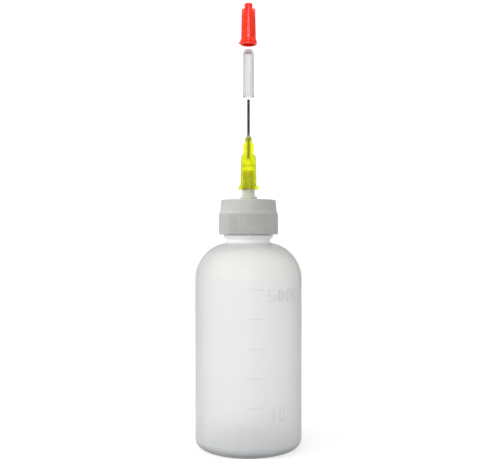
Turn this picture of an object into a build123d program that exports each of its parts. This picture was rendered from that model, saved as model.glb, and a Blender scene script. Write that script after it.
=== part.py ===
from build123d import *

import os
from math import acos, cos, degrees, radians, sin

# A 50 ml squeeze bottle with a blunt dispensing needle, laid out along its own axis in the
# order in which it goes together: bottle, spout and screw cap, needle, clear sheath, tip cap.
# Millimetres, +Z up. The origin is the centre of the bottle's foot, and every height is
# measured from the surface that the bottle stands on.

os.makedirs("parts", exist_ok=True)

# --- Driving dimensions ---------------------------------------------------------------------

# Bottle: a blow-moulded body with a round shoulder and a threaded neck
BODY_R = 18.6
WALL = 1.2
HEEL_R = 3.0
FOOT_IN_R = 14.2
PUSH_UP = 2.2
BASE_T = 1.5
HEEL_LINE_Z = 3.8
HEEL_LINE_T = 0.15
FOOT_EDGE_W = 0.9
SHOULDER_R = 13.0
SHOULDER_Z = 58.2
NECK_R = 7.75
NECK_BORE_R = 6.25
NECK_TOP_Z = 83.4
WAIST_R = 7.6
WAIST_Z = 72.2
RING_R = 8.6
RING_Z = 73.0
RING_TOP_Z = 73.8
WAIST_BLEND = 0.7

# Raised marks on the bottle's wall, one line for every 10 ml
MARK_RAISE = 0.18
MARK_STROKE = 0.55
MARK_FIRST_Z = 17.0
MARK_STEP_Z = 9.7
MARK_COUNT = 5
MARK_LINE_W = 5.2
MARK_LINE_AZ = 8.7
TEN_AZ = 31.5
TEN_H = 5.1
FIFTY_AZ = 40.0
FIFTY_H = 4.2
GLYPH_W = 2.4
GLYPH_STEP = 3.28
FLAG_TILT = 40

# Neck and cap thread: an 18 mm neck finish, 8 threads to the inch, right-handed
PITCH = 25.4 / 8
THREAD_TURNS = 1.5
NECK_THREAD_Z = 75.6
NECK_CREST_R = 8.7
CAP_CREST_R = 8.05
RIDGE_BASE = 1.8
RIDGE_CREST = 0.9
RIDGE_ROOT = 0.25

# Screw cap: a knurled skirt under a smooth, slightly tapered band
CAP_Z = 73.9
CAP_TOP_Z = 86.0
CAP_R = 10.4
CAP_BAND_R = 9.85
CAP_BAND_TOP_R = 9.6
CAP_STEP_Z = 80.9
CAP_BAND_Z = 82.2
CAP_BORE_R = 9.0
CAP_TOP_T = 1.4
CAP_HOLE_R = 3.33
KNURL_COUNT = 96
KNURL_DEPTH = 0.2
KNURL_HALF = 0.2
EDGE = 0.45

# Spout: a plug with a flange under the cap and a male Luer slip taper on top
SPOUT_FLANGE_R = 8.0
SPOUT_GAP = 0.05
PLUG_R = 6.19
PLUG_IN_R = 5.2
PLUG_LEN = 4.5
COLLAR_R = 3.25
COLLAR_TOP_R = 3.05
COLLAR_TOP_Z = 87.2
NOZZLE_TIP_Z = 96.2
NOZZLE_TIP_R = 1.975
NOZZLE_BORE_R = 1.1
LUER_TAPER = 0.03  # gain in radius for each unit of length, a 6 percent cone

# Needle hub: a female Luer slip socket, finned above its shoulder
HUB_Z = 89.75
HUB_TOP_Z = 107.9
HUB_RIM_R = 2.95
HUB_RIM_T = 1.25
HUB_LUG_R = 3.45
HUB_LUG_W = 2.6
HUB_SKIRT_R = 2.8
HUB_NECK_R = 2.62
HUB_SHOULDER_Z = 100.5
HUB_CORE_R = 1.3
HUB_CORE_Z = 102.2
HUB_FIN_R = 1.88
HUB_FIN_T = 0.65
HUB_FIN_TOP_Z = 105.8
HUB_NOSE_R = 1.08
LUER_GAP = 0.03
HUB_BORE_TOP_Z = 97.7
HUB_WELL_R = 1.45
HUB_WELL_Z = 98.4
HUB_WELL_TOP_Z = 99.9
CUP_R = 0.85
CUP_DEPTH = 1.0

# Cannula: 20 gauge steel tube with a half-inch standing out of its hub
CANNULA_R = 0.455
CANNULA_BORE_R = 0.30
CANNULA_Z = 100.9
CANNULA_TIP_Z = 121.3
CANNULA_FIT = 0.02
BEAD_TOP_Z = 108.6

# Needle sheath: a clear tube with a round closed end, drawn off the needle
SHEATH_Z = 122.3
SHEATH_LEN = 16.85
SHEATH_R = 1.9
SHEATH_TOP_R = 1.82
SHEATH_RIM_R = 1.97
SHEATH_RIM_T = 0.6
SHEATH_BORE_R = 1.42
SHEATH_BORE_TOP_R = 1.34
SHEATH_END_T = 1.2

# Tip cap: a female Luer cap with four gussets round its stub
TIP_Z = 140.6
TIP_LEN = 14.4
TIP_RIM_R = 2.92
TIP_RIM_T = 1.3
TIP_BODY_R = 2.5
TIP_BODY_TOP_R = 2.3
TIP_BODY_LEN = 9.9
TIP_STUB_R = 1.38
TIP_STUB_T = 1.4
TIP_RIB_OUT = 0.12
TIP_RIB_T = 0.9
TIP_RIB_LEN = 12.7
TIP_BORE_R = 2.15
TIP_BORE_LEN = 9.4
TIP_BORE_END = 1.2
TIP_NIB_R = 3.4
TIP_NIB_W = 0.9
TIP_NIB_T = 0.6
TIP_NIB_UP = 0.3
ROUND = 0.2


def arc_end(centre_r, centre_z, radius, at_r):
    """The angle, in degrees, at which an arc about (centre_r, centre_z) reaches at_r."""
    return degrees(acos((at_r - centre_r) / radius))


def turned(*corners):
    """A solid turned about Z. Each corner of its section is a radius, a height and a rounding."""
    with BuildPart() as solid:
        with BuildSketch(Plane.XZ):
            with BuildLine():
                FilletPolyline(
                    *[(r, z) for r, z, rounding in corners],
                    radius=[rounding for r, z, rounding in corners],
                    close=True,
                )
            make_face()
        revolve(axis=Axis.Z)
    return solid.part


def wall_plane(azimuth, height):
    """A plane flat against the bottle's wall, azimuth degrees to the right of its front."""
    turn = radians(azimuth)
    foot = (BODY_R * sin(turn), -BODY_R * cos(turn), height)
    return Plane(origin=foot, x_dir=(cos(turn), sin(turn), 0), z_dir=(sin(turn), -cos(turn), 0))


def thread_ridge(start_z, root_r, crest_r):
    """One thread, as a ridge along a helix, from a cylinder of root_r out or in to crest_r."""
    way = 1 if crest_r > root_r else -1
    depth = crest_r - root_r
    with BuildPart() as ridge:
        with BuildLine() as path:
            Helix(PITCH, PITCH * THREAD_TURNS, root_r, center=(0, 0, start_z))
        section = Plane(origin=path.line @ 0, x_dir=(1, 0, 0), z_dir=path.line % 0)
        with BuildSketch(section):
            Polygon(
                (-way * RIDGE_ROOT, -RIDGE_BASE / 2),
                (0, -RIDGE_BASE / 2),
                (depth, -RIDGE_CREST / 2),
                (depth, RIDGE_CREST / 2),
                (0, RIDGE_BASE / 2),
                (-way * RIDGE_ROOT, RIDGE_BASE / 2),
                align=None,
            )
        sweep(path=path.line, is_frenet=True)
    return ridge.part


def mark_strokes(azimuth, top_z, height, glyphs):
    """Raised glyphs in one row, each made of strokes, standing proud of the bottle's wall."""
    first = -GLYPH_STEP * (len(glyphs) - 1) / 2
    middle_z = top_z - height / 2
    top = height / 2 - MARK_STROKE / 2
    left = -GLYPH_W / 2 + MARK_STROKE / 2
    with BuildPart() as row:
        with BuildSketch(wall_plane(azimuth, middle_z)):
            for index, glyph in enumerate(glyphs):
                with Locations((first + index * GLYPH_STEP, 0)):
                    if glyph == "1":
                        Rectangle(MARK_STROKE, height)
                        with Locations((-MARK_STROKE, top - MARK_STROKE)):
                            Rectangle(MARK_STROKE, MARK_STROKE, rotation=FLAG_TILT)
                    elif glyph == "5":
                        with Locations((0, top), (0, 0), (0, -top)):
                            Rectangle(GLYPH_W, MARK_STROKE)
                        with Locations((left, height / 4), (-left, -height / 4)):
                            Rectangle(MARK_STROKE, height / 2)
                    elif glyph in "0C":
                        Ellipse(GLYPH_W / 2, height / 2)
                        Ellipse(
                            GLYPH_W / 2 - MARK_STROKE,
                            height / 2 - MARK_STROKE,
                            mode=Mode.SUBTRACT,
                        )
                        if glyph == "C":
                            with Locations((GLYPH_W / 2, 0)):
                                Rectangle(GLYPH_W, height / 2, mode=Mode.SUBTRACT)
        extrude(amount=2 * WALL + MARK_RAISE, both=True)
        with BuildSketch(Plane.XY.offset(middle_z - height)):
            Circle(BODY_R + MARK_RAISE)
            Circle(BODY_R - WALL / 2, mode=Mode.SUBTRACT)
        extrude(amount=2 * height, mode=Mode.INTERSECT)
    return row.part


def mark_lines():
    """The short level lines of the scale, standing proud of the bottle's wall."""
    with BuildPart() as lines:
        for index in range(MARK_COUNT):
            with BuildSketch(wall_plane(MARK_LINE_AZ, MARK_FIRST_Z + index * MARK_STEP_Z)):
                SlotOverall(MARK_LINE_W, MARK_STROKE)
        extrude(amount=2 * WALL + MARK_RAISE, both=True)
        with BuildSketch(Plane.XY):
            Circle(BODY_R + MARK_RAISE)
            Circle(BODY_R - WALL / 2, mode=Mode.SUBTRACT)
        extrude(amount=SHOULDER_Z, mode=Mode.INTERSECT)
    return lines.part


# --- Bottle ---------------------------------------------------------------------------------

shoulder_at_r = BODY_R - SHOULDER_R
outer_shoulder = arc_end(shoulder_at_r, SHOULDER_Z, SHOULDER_R, WAIST_R)
inner_shoulder = arc_end(shoulder_at_r, SHOULDER_Z, SHOULDER_R - WALL, NECK_BORE_R)
heel_at_r = BODY_R - HEEL_R

neck_thread = thread_ridge(NECK_THREAD_Z, NECK_R, NECK_CREST_R)
scale_lines = mark_lines()
mark_last_z = MARK_FIRST_Z + (MARK_COUNT - 1) * MARK_STEP_Z
ten_mark = mark_strokes(TEN_AZ, MARK_FIRST_Z, TEN_H, "10")
fifty_mark = mark_strokes(FIFTY_AZ, mark_last_z, FIFTY_H, "50CC")

with BuildPart() as bottle:
    with BuildSketch(Plane.XZ):
        with BuildLine():
            TangentArc((0, PUSH_UP), (FOOT_IN_R - FOOT_EDGE_W, FOOT_EDGE_W / 2), tangent=(1, 0))
            Line((FOOT_IN_R - FOOT_EDGE_W, FOOT_EDGE_W / 2), (FOOT_IN_R, 0))
            Line((FOOT_IN_R, 0), (heel_at_r, 0))
            heel = CenterArc((heel_at_r, HEEL_R), HEEL_R, -90, 90)
            wall = Polyline(
                heel @ 1,
                (BODY_R, HEEL_LINE_Z - HEEL_LINE_T * 2),
                (BODY_R - HEEL_LINE_T, HEEL_LINE_Z),
                (BODY_R, HEEL_LINE_Z + HEEL_LINE_T * 2),
                (BODY_R, SHOULDER_Z),
            )
            shoulder = CenterArc((shoulder_at_r, SHOULDER_Z), SHOULDER_R, 0, outer_shoulder)
            FilletPolyline(
                shoulder @ 1,
                (WAIST_R, WAIST_Z),
                (RING_R, RING_Z),
                (RING_R, RING_TOP_Z),
                (NECK_R, RING_TOP_Z),
                (NECK_R, NECK_TOP_Z),
                (0, NECK_TOP_Z),
                (0, PUSH_UP),
                radius=[ROUND, ROUND, ROUND, ROUND, EDGE, 0],
            )
        make_face()
        fillet(vertices().sort_by_distance(shoulder @ 1)[0], radius=WAIST_BLEND)
    revolve(axis=Axis.Z)
    add(neck_thread)
    add(scale_lines)
    add(ten_mark)
    add(fifty_mark)
    with BuildSketch(Plane.XZ):
        with BuildLine():
            floor_top = PUSH_UP + BASE_T
            TangentArc((0, floor_top), (FOOT_IN_R - FOOT_EDGE_W, BASE_T), tangent=(1, 0))
            Line((FOOT_IN_R - FOOT_EDGE_W, BASE_T), (FOOT_IN_R, WALL))
            Line((FOOT_IN_R, WALL), (heel_at_r, WALL))
            CenterArc((heel_at_r, HEEL_R), HEEL_R - WALL, -90, 90)
            Line((BODY_R - WALL, HEEL_R), (BODY_R - WALL, SHOULDER_Z))
            inside = CenterArc(
                (shoulder_at_r, SHOULDER_Z), SHOULDER_R - WALL, 0, inner_shoulder
            )
            Polyline(
                inside @ 1,
                (NECK_BORE_R, NECK_TOP_Z + EDGE),
                (0, NECK_TOP_Z + EDGE),
                (0, floor_top),
            )
        make_face()
    revolve(axis=Axis.Z, mode=Mode.SUBTRACT)

# --- Screw cap ------------------------------------------------------------------------------

cap_thread = thread_ridge(NECK_THREAD_Z + PITCH / 2, CAP_BORE_R, CAP_CREST_R)
cap_inner_top_z = CAP_TOP_Z - CAP_TOP_T

with BuildPart() as screw_cap:
    add(
        turned(
            (CAP_BORE_R, CAP_Z, ROUND),
            (CAP_R, CAP_Z, EDGE),
            (CAP_R, CAP_STEP_Z, EDGE),
            (CAP_BAND_R, CAP_BAND_Z, EDGE),
            (CAP_BAND_TOP_R, CAP_TOP_Z, EDGE),
            (CAP_HOLE_R, CAP_TOP_Z, ROUND),
            (CAP_HOLE_R, cap_inner_top_z, 0),
            (CAP_BORE_R, cap_inner_top_z, EDGE),
        )
    )
    with BuildSketch(Plane.XY.offset(CAP_Z)):
        with PolarLocations(CAP_R, KNURL_COUNT):
            Polygon(
                (-KNURL_DEPTH, 0),
                (KNURL_DEPTH / 2, -1.5 * KNURL_HALF),
                (KNURL_DEPTH / 2, 1.5 * KNURL_HALF),
                align=None,
            )
    extrude(amount=CAP_BAND_Z - CAP_Z, mode=Mode.SUBTRACT)
    add(cap_thread)

# --- Spout ----------------------------------------------------------------------------------

flange_z = NECK_TOP_Z + SPOUT_GAP
flange_top_z = cap_inner_top_z - SPOUT_GAP
nozzle_foot_r = NOZZLE_TIP_R + LUER_TAPER * (NOZZLE_TIP_Z - COLLAR_TOP_Z)

with BuildPart() as spout:
    add(
        turned(
            (PLUG_IN_R, flange_z - PLUG_LEN, ROUND),
            (PLUG_R, flange_z - PLUG_LEN, EDGE),
            (PLUG_R, flange_z, 0),
            (SPOUT_FLANGE_R, flange_z, ROUND),
            (SPOUT_FLANGE_R, flange_top_z, ROUND),
            (COLLAR_R, flange_top_z, 0),
            (COLLAR_TOP_R, COLLAR_TOP_Z, EDGE),
            (nozzle_foot_r, COLLAR_TOP_Z, ROUND),
            (NOZZLE_TIP_R, NOZZLE_TIP_Z, ROUND),
            (NOZZLE_BORE_R, NOZZLE_TIP_Z, ROUND),
            (NOZZLE_BORE_R, COLLAR_TOP_Z, EDGE),
            (2 * NOZZLE_BORE_R, CAP_TOP_Z - CAP_TOP_T / 2, EDGE),
            (2 * NOZZLE_BORE_R, flange_z + EDGE, EDGE),
            (PLUG_IN_R, flange_z - EDGE, EDGE),
        )
    )

# --- Needle hub -----------------------------------------------------------------------------

hub_mouth_r = NOZZLE_TIP_R + LUER_TAPER * (NOZZLE_TIP_Z - HUB_Z) + LUER_GAP
hub_bore_r = hub_mouth_r - LUER_TAPER * (HUB_BORE_TOP_Z - HUB_Z)
cannula_hole_r = CANNULA_R + CANNULA_FIT

with BuildPart() as needle_hub:
    with BuildSketch(Plane.XZ):
        with BuildLine():
            skirt = Polyline(
                (0, HUB_Z),
                (HUB_RIM_R, HUB_Z),
                (HUB_RIM_R, HUB_Z + HUB_RIM_T),
                (HUB_SKIRT_R, HUB_Z + HUB_RIM_T),
                (HUB_NECK_R, HUB_SHOULDER_Z),
            )
            round_over = TangentArc(
                skirt @ 1, (HUB_CORE_R + EDGE, HUB_CORE_Z), tangent=skirt % 1
            )
            Polyline(
                round_over @ 1,
                (HUB_CORE_R, HUB_CORE_Z),
                (HUB_CORE_R, HUB_FIN_TOP_Z),
                (HUB_NOSE_R, HUB_TOP_Z),
                (0, HUB_TOP_Z),
                (0, HUB_Z),
            )
        make_face()
    revolve(axis=Axis.Z)
    with BuildSketch(Plane.XY.offset(HUB_Z)):
        Rectangle(2 * HUB_LUG_R, HUB_LUG_W)
        fillet(vertices(), radius=EDGE)
    extrude(amount=HUB_RIM_T)
    with BuildSketch(Plane.XY.offset(HUB_SHOULDER_Z)):
        Rectangle(2 * HUB_FIN_R, HUB_FIN_T)
        Rectangle(HUB_FIN_T, 2 * HUB_FIN_R)
    extrude(amount=HUB_FIN_TOP_Z - HUB_SHOULDER_Z)
    with BuildSketch(Plane.XZ):
        Polygon(
            (0, HUB_Z),
            (hub_mouth_r, HUB_Z),
            (hub_bore_r, HUB_BORE_TOP_Z),
            (HUB_WELL_R, HUB_WELL_Z),
            (HUB_WELL_R, HUB_WELL_TOP_Z),
            (cannula_hole_r, CANNULA_Z),
            (cannula_hole_r, HUB_TOP_Z - CUP_DEPTH),
            (CUP_R, HUB_TOP_Z - CUP_DEPTH),
            (CUP_R, HUB_TOP_Z),
            (0, HUB_TOP_Z),
            align=None,
        )
    revolve(axis=Axis.Z, mode=Mode.SUBTRACT)

# --- Cannula --------------------------------------------------------------------------------

with BuildPart() as cannula:
    with BuildSketch(Plane.XY.offset(CANNULA_Z)):
        Circle(CANNULA_R)
        Circle(CANNULA_BORE_R, mode=Mode.SUBTRACT)
    extrude(amount=CANNULA_TIP_Z - CANNULA_Z)

# --- Adhesive bead that holds the cannula in the hub ----------------------------------------

with BuildPart() as adhesive_bead:
    with BuildSketch(Plane.XZ):
        with BuildLine():
            cup = Polyline(
                (cannula_hole_r, BEAD_TOP_Z),
                (cannula_hole_r, HUB_TOP_Z - CUP_DEPTH),
                (CUP_R, HUB_TOP_Z - CUP_DEPTH),
                (CUP_R, HUB_TOP_Z),
            )
            TangentArc(cup @ 1, cup @ 0, tangent=cup % 1)
        make_face()
    revolve(axis=Axis.Z)

# --- Needle sheath --------------------------------------------------------------------------

sheath_top_z = SHEATH_Z + SHEATH_LEN
bore_top_z = sheath_top_z - SHEATH_END_T

with BuildPart() as needle_sheath:
    with BuildSketch(Plane.XZ):
        with BuildLine():
            tube = Polyline(
                (SHEATH_BORE_R, SHEATH_Z),
                (SHEATH_RIM_R, SHEATH_Z),
                (SHEATH_RIM_R, SHEATH_Z + SHEATH_RIM_T),
                (SHEATH_R, SHEATH_Z + SHEATH_RIM_T),
                (SHEATH_TOP_R, sheath_top_z - SHEATH_TOP_R),
            )
            CenterArc((0, sheath_top_z - SHEATH_TOP_R), SHEATH_TOP_R, 0, 90)
            Line((0, sheath_top_z), (0, bore_top_z))
            CenterArc((0, bore_top_z - SHEATH_BORE_TOP_R), SHEATH_BORE_TOP_R, 0, 90)
            Line((SHEATH_BORE_TOP_R, bore_top_z - SHEATH_BORE_TOP_R), tube @ 0)
        make_face()
    revolve(axis=Axis.Z)

# --- Tip cap --------------------------------------------------------------------------------

tip_top_z = TIP_Z + TIP_LEN
tip_body_z = TIP_Z + TIP_RIM_T + EDGE
tip_body_top_z = TIP_Z + TIP_BODY_LEN
tip_bore_top_z = TIP_Z + TIP_BORE_LEN
tip_bore_top_r = TIP_BORE_R - LUER_TAPER * TIP_BORE_LEN

with BuildPart() as tip_cap:
    add(
        turned(
            (0, TIP_Z, 0),
            (TIP_RIM_R, TIP_Z, ROUND),
            (TIP_RIM_R, TIP_Z + TIP_RIM_T, ROUND),
            (TIP_BODY_R, tip_body_z + EDGE, EDGE),
            (TIP_BODY_TOP_R, tip_body_top_z, EDGE),
            (TIP_STUB_R, tip_top_z - TIP_STUB_T, EDGE),
            (TIP_STUB_R, tip_top_z, ROUND),
            (0, tip_top_z, 0),
        )
    )
    with BuildSketch(Plane.XY.offset(TIP_Z + TIP_RIM_T)):
        Rectangle(2 * (TIP_BODY_R + TIP_RIB_OUT), TIP_RIB_T)
        Rectangle(TIP_RIB_T, 2 * (TIP_BODY_R + TIP_RIB_OUT))
    rib_draft = degrees((TIP_BODY_R - TIP_BODY_TOP_R) / TIP_BODY_LEN)
    extrude(amount=TIP_RIB_LEN - TIP_RIM_T, taper=rib_draft)
    with BuildSketch(Plane.XY.offset(TIP_Z + TIP_NIB_UP)):
        Rectangle(TIP_NIB_R, TIP_NIB_W, align=(Align.MAX, Align.CENTER))
    extrude(amount=TIP_NIB_T)
    with BuildSketch(Plane.XZ):
        Polygon(
            (0, TIP_Z),
            (TIP_BORE_R, TIP_Z),
            (tip_bore_top_r, tip_bore_top_z),
            (0, tip_bore_top_z + TIP_BORE_END),
            align=None,
        )
    revolve(axis=Axis.Z, mode=Mode.SUBTRACT)

# --- Export ---------------------------------------------------------------------------------

bottle.part.label = "bottle"
screw_cap.part.label = "screw_cap"
spout.part.label = "spout"
needle_hub.part.label = "needle_hub"
cannula.part.label = "cannula"
adhesive_bead.part.label = "adhesive_bead"
needle_sheath.part.label = "needle_sheath"
tip_cap.part.label = "tip_cap"

export_step(bottle.part, "parts/bottle.step")
export_step(screw_cap.part, "parts/screw_cap.step")
export_step(spout.part, "parts/spout.step")
export_step(needle_hub.part, "parts/needle_hub.step")
export_step(cannula.part, "parts/cannula.step")
export_step(adhesive_bead.part, "parts/adhesive_bead.step")
export_step(needle_sheath.part, "parts/needle_sheath.step")
export_step(tip_cap.part, "parts/tip_cap.step")
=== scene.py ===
import math

import bpy
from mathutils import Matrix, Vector


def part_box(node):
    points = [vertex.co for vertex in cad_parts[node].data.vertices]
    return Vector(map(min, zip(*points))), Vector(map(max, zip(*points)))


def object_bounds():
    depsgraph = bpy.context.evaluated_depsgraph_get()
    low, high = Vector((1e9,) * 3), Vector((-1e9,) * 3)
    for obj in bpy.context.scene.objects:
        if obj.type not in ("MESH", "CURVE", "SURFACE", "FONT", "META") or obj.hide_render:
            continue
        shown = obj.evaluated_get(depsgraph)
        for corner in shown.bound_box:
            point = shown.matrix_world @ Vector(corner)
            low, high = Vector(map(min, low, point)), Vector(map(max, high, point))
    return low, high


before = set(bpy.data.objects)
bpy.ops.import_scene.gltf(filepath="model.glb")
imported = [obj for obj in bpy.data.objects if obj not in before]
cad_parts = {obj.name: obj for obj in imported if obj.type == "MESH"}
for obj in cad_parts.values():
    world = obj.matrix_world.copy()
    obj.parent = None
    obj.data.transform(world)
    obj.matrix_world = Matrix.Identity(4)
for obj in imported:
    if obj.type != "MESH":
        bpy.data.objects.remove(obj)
cad_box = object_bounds()

MM = 0.001
WHITE = (1.0, 1.0, 1.0, 1.0)

# --- Places worked out from the frame -------------------------------------------------------

bottle_low, bottle_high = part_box("bottle")
cap_low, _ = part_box("screw_cap")
middle = Vector((0, 0, (cad_box[0].z + cad_box[1].z) / 2))
bottle_height = bottle_high.z - bottle_low.z
wall_r = bottle_high.x

# Heights on the bottle where its plastic changes look, and where painted shade darkens its
# foot, the spot over its push-up and its neck above the ring
CREAM_FROM = 0.73 * bottle_height
CREAM_TO = 0.82 * bottle_height
CREAM_FADE = 0.05 * bottle_height
FOOT_SHADE_TO = 0.10 * bottle_height
FOOT_DARK_SHADE_TO = 0.045 * bottle_height
PUSH_UP_SHADE_LOW = 0.05 * bottle_height
PUSH_UP_SHADE_HIGH = 0.12 * bottle_height
MILKY_FROM = 0.835 * bottle_height
MILKY_BY = 0.865 * bottle_height
NECK_SHADE_FROM = 0.875 * bottle_height
NECK_SHADE_BY = 0.90 * bottle_height

# Radii of the dark spot painted as shade over the push-up, and how far out the raised marks
# take their painted shade
PUSH_UP_SHADE_CORE_R = 2 * MM
PUSH_UP_SHADE_EDGE_R = 7 * MM
MARK_SHADE_FROM = wall_r + 0.03 * MM
MARK_SHADE_BY = wall_r + 0.12 * MM

# Part of the noise's spread that is stretched to run from 0 to 1
NOISE_LOW = 0.3
NOISE_HIGH = 0.7

# Casts of the nearly grey plastics; the first is the cast of the shade painted on the bottle's
# foot
FOOT_SHADE_TINT = (0.96, 0.985, 1.0)
CAP_TINT = (0.99, 1.01, 0.96)
SHEATH_TINT = (0.99, 0.995, 1.0)


# --- Node helpers ---------------------------------------------------------------------------


def node(tree, kind, **settings):
    """A new node in tree, with its properties set by keyword."""
    made = tree.nodes.new(kind)
    for key, value in settings.items():
        setattr(made, key, value)
    return made


def feed(tree, source, socket):
    """Puts an output, or a plain value, into a socket."""
    if isinstance(source, bpy.types.NodeSocket):
        tree.links.new(source, socket)
    else:
        socket.default_value = source


def carry(tree, source, low, high, to_low, to_high):
    """Source carried from low..high to to_low..to_high, and held at the ends."""
    made = node(tree, "ShaderNodeMapRange", clamp=True, interpolation_type="SMOOTHSTEP")
    feed(tree, source, made.inputs["Value"])
    made.inputs["From Min"].default_value = low
    made.inputs["From Max"].default_value = high
    made.inputs["To Min"].default_value = to_low
    made.inputs["To Max"].default_value = to_high
    return made.outputs["Result"]


def maths(tree, operation, *sources):
    """One scalar Math node."""
    made = node(tree, "ShaderNodeMath", operation=operation)
    for index, source in enumerate(sources):
        feed(tree, source, made.inputs[index])
    return made.outputs["Value"]


class Finish:
    """A Principled material under construction, on coordinates in metres."""

    def __init__(self, name, **sockets):
        self.material = bpy.data.materials.new(name)
        self.material.use_nodes = True
        self.tree = self.material.node_tree
        self.shader = self.tree.nodes["Principled BSDF"]
        self.out = self.tree.nodes["Material Output"]
        coords = node(self.tree, "ShaderNodeTexCoord")
        self.place = coords.outputs["Object"]
        split = node(self.tree, "ShaderNodeSeparateXYZ")
        self.tree.links.new(self.place, split.inputs[0])
        self.x, self.y, self.z = split.outputs
        self.normal = None
        for key, value in sockets.items():
            self.shader.inputs[key.replace("_", " ")].default_value = value

    def noise(self, size, detail=2.0, stretch=(1, 1, 1), distortion=0.0):
        """Noise whose features are about size metres across, drawn out by stretch."""
        scaled = node(self.tree, "ShaderNodeVectorMath", operation="MULTIPLY")
        feed(self.tree, self.place, scaled.inputs[0])
        scaled.inputs[1].default_value = [1 / (size * s) for s in stretch]
        made = node(self.tree, "ShaderNodeTexNoise")
        feed(self.tree, scaled.outputs["Vector"], made.inputs["Vector"])
        made.inputs["Scale"].default_value = 1.0
        made.inputs["Detail"].default_value = detail
        made.inputs["Distortion"].default_value = distortion
        return carry(self.tree, made.outputs["Fac"], NOISE_LOW, NOISE_HIGH, 0, 1)

    def band(self, low, high, soft):
        """1 between two heights and 0 outside them, with soft metres of fade at each end."""
        rise = carry(self.tree, self.z, low - soft, low + soft, 0, 1)
        fall = carry(self.tree, self.z, high - soft, high + soft, 1, 0)
        return maths(self.tree, "MULTIPLY", rise, fall)

    def off_axis(self):
        """Distance from the shared axis, in metres."""
        squares = [maths(self.tree, "MULTIPLY", c, c) for c in (self.x, self.y)]
        return maths(self.tree, "SQRT", maths(self.tree, "ADD", *squares))

    def blend(self, factor, first, second):
        """A colour between first and second, by factor."""
        made = node(self.tree, "ShaderNodeMix", data_type="RGBA")
        feed(self.tree, factor, made.inputs[0])
        feed(self.tree, first, made.inputs[6])
        feed(self.tree, second, made.inputs[7])
        return made.outputs[2]

    def bump(self, height, distance):
        """Adds one layer of relief, distance metres deep."""
        made = node(self.tree, "ShaderNodeBump")
        made.inputs["Distance"].default_value = distance
        feed(self.tree, height, made.inputs["Height"])
        if self.normal is not None:
            feed(self.tree, self.normal, made.inputs["Normal"])
        self.normal = made.outputs["Normal"]

    def absorb(self, colour, density):
        """Tints what passes through by how far it goes in the plastic."""
        depth = node(self.tree, "ShaderNodeVolumeAbsorption")
        depth.inputs["Color"].default_value = colour
        depth.inputs["Density"].default_value = density
        self.tree.links.new(depth.outputs["Volume"], self.out.inputs["Volume"])

    def done(self, colour, pattern, smooth, rough):
        """Connects what was built, with a roughness from smooth to rough over the pattern."""
        roughness = carry(self.tree, pattern, 0, 1, smooth, rough)
        feed(self.tree, colour, self.shader.inputs["Base Color"])
        feed(self.tree, roughness, self.shader.inputs["Roughness"])
        feed(self.tree, self.normal, self.shader.inputs["Normal"])
        return self.material


def grey(level, tint=(1.0, 1.0, 1.0)):
    """A colour of about the same brightness in every channel."""
    return tuple(level * t for t in tint) + (1.0,)


# --- Finishes -------------------------------------------------------------------------------


def bottle_finish():
    """Frosted natural polyethylene, blow-moulded: milky, with uneven walls, and with shade
    painted on its foot, neck, push-up spot and raised marks.
    """
    f = Finish(
        "frosted_ldpe",
        IOR=1.51,
        Subsurface_Weight=1.0,
        Subsurface_Radius=(1.0, 0.97, 0.9),
        Subsurface_Scale=1.5 * MM,
    )
    mottle = f.noise(size=9 * MM, stretch=(1, 1, 1.8))
    flow = f.noise(size=2.4 * MM, detail=0.0, stretch=(1, 1, 20))
    body = f.blend(mottle, grey(0.985), grey(0.955))
    shoulder = f.band(CREAM_FROM, CREAM_TO, CREAM_FADE)
    body = f.blend(shoulder, body, grey(0.99, (1.0, 0.99, 0.93)))
    # Painted shade: the foot is greyed, then darkened close to the floor, standing in for the
    # shade and dimming seen through the base
    foot_shade = carry(f.tree, f.z, 0, FOOT_SHADE_TO, 1, 0)
    body = f.blend(foot_shade, body, grey(0.88, FOOT_SHADE_TINT))
    foot_dark_shade = carry(f.tree, f.z, 0, FOOT_DARK_SHADE_TO, 1, 0)
    body = f.blend(foot_dark_shade, body, grey(0.42, FOOT_SHADE_TINT))
    # Painted shade: the neck above the ring is greyed to make it look darker
    neck_shade = carry(f.tree, f.z, NECK_SHADE_FROM, NECK_SHADE_BY, 0, 1)
    body = f.blend(neck_shade, body, grey(0.88))
    # Painted shade: a near-black spot near the axis, low in the bottle, for the push-up
    # darkening the view through the wall
    near_axis = carry(f.tree, f.off_axis(), PUSH_UP_SHADE_CORE_R, PUSH_UP_SHADE_EDGE_R, 1, 0)
    low_down = carry(f.tree, f.z, PUSH_UP_SHADE_LOW, PUSH_UP_SHADE_HIGH, 1, 0)
    push_up_shade = maths(f.tree, "MULTIPLY", near_axis, low_down)
    body = f.blend(push_up_shade, body, grey(0.05, (0.95, 0.98, 1.0)))
    clear = carry(f.tree, f.z, MILKY_FROM, MILKY_BY, 0.72, 0.20)
    feed(f.tree, clear, f.shader.inputs["Transmission Weight"])
    # Painted shade: the raised marks are greyed so they show as if shaded by their relief
    mark_shade = carry(f.tree, f.off_axis(), MARK_SHADE_FROM, MARK_SHADE_BY, 0, 1)
    body = f.blend(mark_shade, body, grey(0.87))
    f.bump(mottle, distance=0.06 * MM)
    f.bump(flow, distance=0.008 * MM)
    return f.done(body, mottle, smooth=0.30, rough=0.38)


def cap_finish():
    """Satin grey polypropylene, injection-moulded."""
    f = Finish(
        "satin_grey_pp",
        IOR=1.49,
        Subsurface_Weight=0.3,
        Subsurface_Radius=(1.0, 1.0, 0.9),
        Subsurface_Scale=0.3 * MM,
    )
    swirl = f.noise(size=6 * MM, detail=3.0, distortion=0.6)
    grain = f.noise(size=0.45 * MM)
    body = f.blend(swirl, grey(0.36, CAP_TINT), grey(0.39, CAP_TINT))
    f.bump(swirl, distance=0.02 * MM)
    f.bump(grain, distance=0.003 * MM)
    return f.done(body, swirl, smooth=0.40, rough=0.52)


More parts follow.
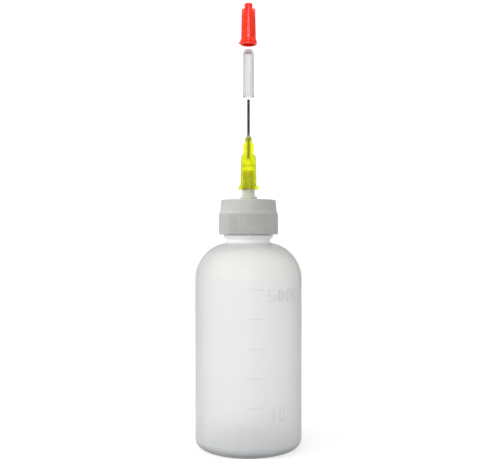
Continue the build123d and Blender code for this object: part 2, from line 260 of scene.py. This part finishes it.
def spout_finish():
    """Natural polyethylene, thick enough to look waxy."""
    f = Finish(
        "natural_pe",
        IOR=1.51,
        Transmission_Weight=0.5,
        Subsurface_Weight=0.8,
        Subsurface_Radius=(1.0, 1.0, 0.8),
        Subsurface_Scale=0.8 * MM,
    )
    cloud = f.noise(size=2.5 * MM, detail=0.0)
    body = f.blend(cloud, grey(0.77, (1.0, 1.0, 0.86)), grey(0.71, (1.0, 1.0, 0.88)))
    f.bump(cloud, distance=0.006 * MM)
    return f.done(body, cloud, smooth=0.26, rough=0.38)


def hub_finish():
    """Transparent yellow polypropylene, a little cloudy."""
    f = Finish(
        "clear_yellow_pp",
        IOR=1.49,
        Transmission_Weight=0.93,
        Specular_Tint=(1.0, 1.0, 0.15, 1.0),
    )
    cloud = f.noise(size=1.8 * MM, detail=0.0, distortion=0.5)
    body = f.blend(cloud, (0.97, 0.99, 0.14, 1), (0.93, 0.96, 0.09, 1))
    f.absorb((0.972, 0.982, 0.0, 1), density=1300)
    f.bump(cloud, distance=0.004 * MM)
    return f.done(body, cloud, smooth=0.28, rough=0.34)


def needle_finish():
    """Dark drawn stainless tube, brushed along its length."""
    f = Finish("drawn_steel", Metallic=1.0)
    draw = f.noise(size=0.12 * MM, stretch=(1, 1, 60))
    smudge = f.noise(size=1.2 * MM, detail=3.0)
    body = f.blend(smudge, grey(0.04), grey(0.09))
    f.bump(draw, distance=0.001 * MM)
    return f.done(body, draw, smooth=0.24, rough=0.36)


def bead_finish():
    """Cured adhesive: greenish grey, glassy and slightly lumpy."""
    f = Finish("cured_adhesive", IOR=1.5, Transmission_Weight=0.4)
    lump = f.noise(size=0.5 * MM)
    body = f.blend(lump, (0.36, 0.41, 0.20, 1), (0.50, 0.55, 0.33, 1))
    f.bump(lump, distance=0.02 * MM)
    return f.done(body, lump, smooth=0.12, rough=0.22)


def sheath_finish():
    """Clear polypropylene with a little haze."""
    f = Finish("clear_pp", IOR=1.49, Transmission_Weight=0.96)
    haze = f.noise(size=2.5 * MM, detail=0.0, stretch=(1, 1, 3))
    body = f.blend(haze, grey(0.97, SHEATH_TINT), grey(0.94, SHEATH_TINT))
    f.absorb(grey(0.05), density=170)
    f.bump(haze, distance=0.002 * MM)
    return f.done(body, haze, smooth=0.28, rough=0.34)


def tip_finish():
    """Glossy red polyethylene, slightly see-through where it is thin."""
    f = Finish(
        "glossy_red_pe",
        IOR=1.5,
        Specular_IOR_Level=0.45,
        Subsurface_Weight=0.8,
        Subsurface_Radius=(1.0, 0.06, 0.03),
        Subsurface_Scale=1.8 * MM,
    )
    swirl = f.noise(size=2 * MM, detail=0.0, distortion=0.8)
    body = f.blend(swirl, (0.99, 0.030, 0.006, 1), (0.94, 0.020, 0.004, 1))
    f.bump(swirl, distance=0.004 * MM)
    return f.done(body, swirl, smooth=0.18, rough=0.26)


FINISHES = {
    "bottle": bottle_finish,
    "screw_cap": cap_finish,
    "spout": spout_finish,
    "needle_hub": hub_finish,
    "cannula": needle_finish,
    "adhesive_bead": bead_finish,
    "needle_sheath": sheath_finish,
    "tip_cap": tip_finish,
}

for name, finish in FINISHES.items():
    for slot in bpy.data.objects[name].material_slots:
        slot.material = finish()


# --- Camera ---------------------------------------------------------------------------------

PICTURE_W = 497
SENSOR_W = 36.0
FOCAL_PX = 731
HORIZON_RISE_PX = 5
CAMERA_AWAY = 257 * MM
CLIP_NEAR = 10 * MM
CLIP_FAR = 50.0
LEVEL = math.radians(90)

camera_data = bpy.data.cameras.new("camera")
camera_data.sensor_width = SENSOR_W
camera_data.lens = SENSOR_W * FOCAL_PX / PICTURE_W
camera_data.shift_y = HORIZON_RISE_PX / PICTURE_W
camera_data.clip_start = CLIP_NEAR
camera_data.clip_end = CLIP_FAR
camera = bpy.data.objects.new("camera", camera_data)
bpy.context.scene.collection.objects.link(camera)
camera.location = (0, -CAMERA_AWAY, cap_low.z)
camera.rotation_euler = (LEVEL, 0, 0)
bpy.context.scene.camera = camera
bpy.context.scene.view_settings.view_transform = "Standard"


# --- Floor, surround and lights -------------------------------------------------------------

FLOOR_R = 6.0
FLOOR_CORNERS = 96
FLOOR_COLOUR = (0.9, 0.9, 0.9, 1)

# Where the floor goes over from partly glowing to all glowing, out from the part
WHITE_FROM = 0.10
WHITE_BY = 0.45
GLOW_SHARE_NEAR = 0.62

# The glow's strength as a light, and as it is looked at directly or through the part
GLOW_AS_LIGHT = 0.6
GLOW_SEEN = 1.0


def floor_material():
    """A matt white floor that goes over into the white surround, and lights the part less."""
    material = bpy.data.materials.new("floor_white")
    material.use_nodes = True
    tree = material.node_tree
    tree.nodes.clear()
    out = node(tree, "ShaderNodeOutputMaterial")
    coords = node(tree, "ShaderNodeTexCoord")
    away = node(tree, "ShaderNodeVectorMath", operation="LENGTH")
    tree.links.new(coords.outputs["Object"], away.inputs[0])
    far = carry(tree, away.outputs["Value"], WHITE_FROM, WHITE_BY, GLOW_SHARE_NEAR, 1.0)
    path = node(tree, "ShaderNodeLightPath")
    matt = node(tree, "ShaderNodeBsdfDiffuse")
    matt.inputs["Color"].default_value = FLOOR_COLOUR
    glow = node(tree, "ShaderNodeEmission")
    looked_at = (path.outputs["Is Camera Ray"], path.outputs["Is Transmission Ray"])
    seen = maths(tree, "MAXIMUM", *looked_at)
    strength = carry(tree, seen, 0, 1, GLOW_AS_LIGHT, GLOW_SEEN)
    feed(tree, strength, glow.inputs["Strength"])
    mix = node(tree, "ShaderNodeMixShader")
    tree.links.new(far, mix.inputs["Fac"])
    tree.links.new(matt.outputs["BSDF"], mix.inputs[1])
    tree.links.new(glow.outputs["Emission"], mix.inputs[2])
    tree.links.new(mix.outputs["Shader"], out.inputs["Surface"])
    return material


def add_floor():
    """A wide round floor under the part."""
    mesh = bpy.data.meshes.new("floor")
    turns = [2 * math.pi * i / FLOOR_CORNERS for i in range(FLOOR_CORNERS)]
    ring = [(FLOOR_R * math.cos(a), FLOOR_R * math.sin(a), 0) for a in turns]
    mesh.from_pydata(ring, [], [tuple(range(FLOOR_CORNERS))])
    mesh.materials.append(floor_material())
    floor = bpy.data.objects.new("floor", mesh)
    bpy.context.scene.collection.objects.link(floor)


def add_softbox(name, place, aim, width, height, power, mirrored):
    """A rectangular area lamp at place, turned towards aim. It never shows through the clear
    pieces, and it shows in their gloss only if it is mirrored."""
    lamp = bpy.data.lights.new(name, "AREA")
    lamp.shape = "RECTANGLE"
    lamp.size = width
    lamp.size_y = height
    lamp.energy = power
    box = bpy.data.objects.new(name, lamp)
    bpy.context.scene.collection.objects.link(box)
    box.location = place
    box.visible_glossy = mirrored
    box.visible_transmission = False
    box.rotation_euler = (Vector(aim) - Vector(place)).to_track_quat("-Z", "Y").to_euler()


def add_surround(left, right, mirrored):
    """A white surround, brighter as a light from the left than from the right. Reflections see
    only a share of it, as they do between the dark cards of a product studio."""
    world = bpy.data.worlds.new("surround")
    world.use_nodes = True
    tree = world.node_tree
    tree.nodes.clear()
    out = node(tree, "ShaderNodeOutputWorld")
    path = node(tree, "ShaderNodeLightPath")
    coords = node(tree, "ShaderNodeTexCoord")
    split = node(tree, "ShaderNodeSeparateXYZ")
    tree.links.new(coords.outputs["Generated"], split.inputs[0])
    side = carry(tree, split.outputs["X"], -1.0, 1.0, left, right)
    through = maths(tree, "SUBTRACT", 1.0, path.outputs["Is Transmission Ray"])
    bounced = maths(tree, "MULTIPLY", path.outputs["Is Glossy Ray"], through)
    share = carry(tree, bounced, 0, 1, 1.0, mirrored)
    light = maths(tree, "MULTIPLY", side, share)
    level = maths(tree, "MAXIMUM", path.outputs["Is Camera Ray"], light)
    back = node(tree, "ShaderNodeBackground")
    back.inputs["Color"].default_value = WHITE
    tree.links.new(level, back.inputs["Strength"])
    tree.links.new(back.outputs["Background"], out.inputs["Surface"])
    bpy.context.scene.world = world


add_floor()
add_surround(left=1.15, right=1.1, mirrored=0.35)
add_softbox(
    "front_strip",
    place=(-0.03, -0.55, 0.27),
    aim=middle,
    width=0.07,
    height=0.42,
    power=0.75,
    mirrored=True,
)
add_softbox(
    "key_left",
    place=(-0.50, -0.20, 0.30),
    aim=middle,
    width=0.35,
    height=0.5,
    power=2.3,
    mirrored=False,
)
